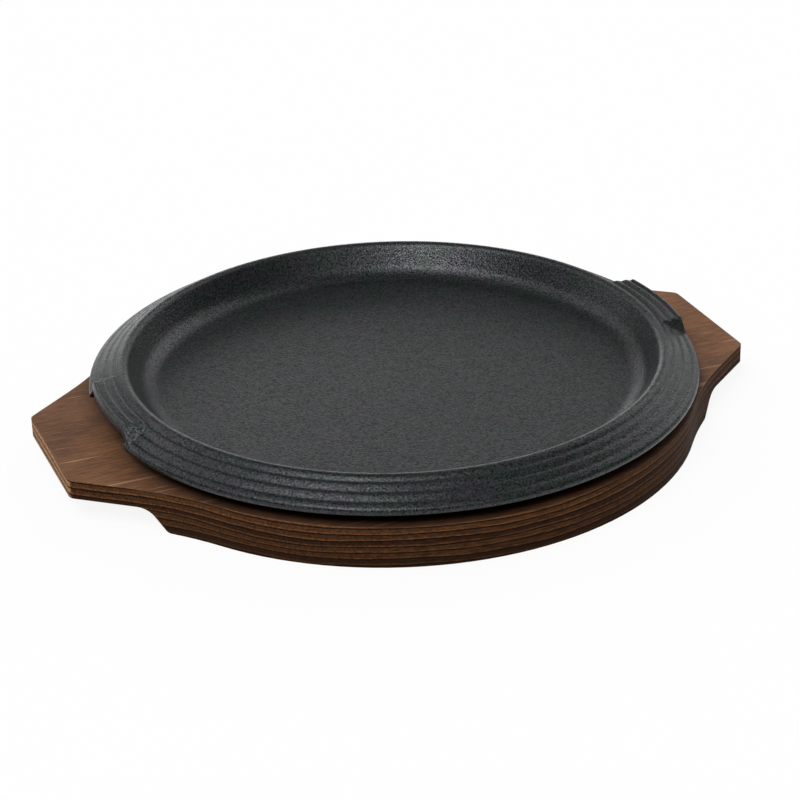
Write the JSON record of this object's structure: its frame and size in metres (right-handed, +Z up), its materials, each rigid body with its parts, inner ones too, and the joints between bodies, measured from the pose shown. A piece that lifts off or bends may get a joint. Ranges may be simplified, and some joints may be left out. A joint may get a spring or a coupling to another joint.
{
  "type": "sizzle platter",
  "caption": "Round cast iron platter with a stepped sloping rim and lifting lugs, resting in the shallow seat of a wooden board with flared handles.",
  "frame": {"origin": "under the middle of the board, on the table", "axes": "+X along the two handles, +Z up out of the dish"},
  "size_m": [0.293, 0.25, 0.0324],
  "materials": {
    "iron": "sand-cast and seasoned, dull black with a faint grain",
    "wood": "stained reddish brown, satin"
  },
  "bodies": {
    "root": {"iron_plate": "iron", "wood_board": "wood"}
  },
  "joints": []
}
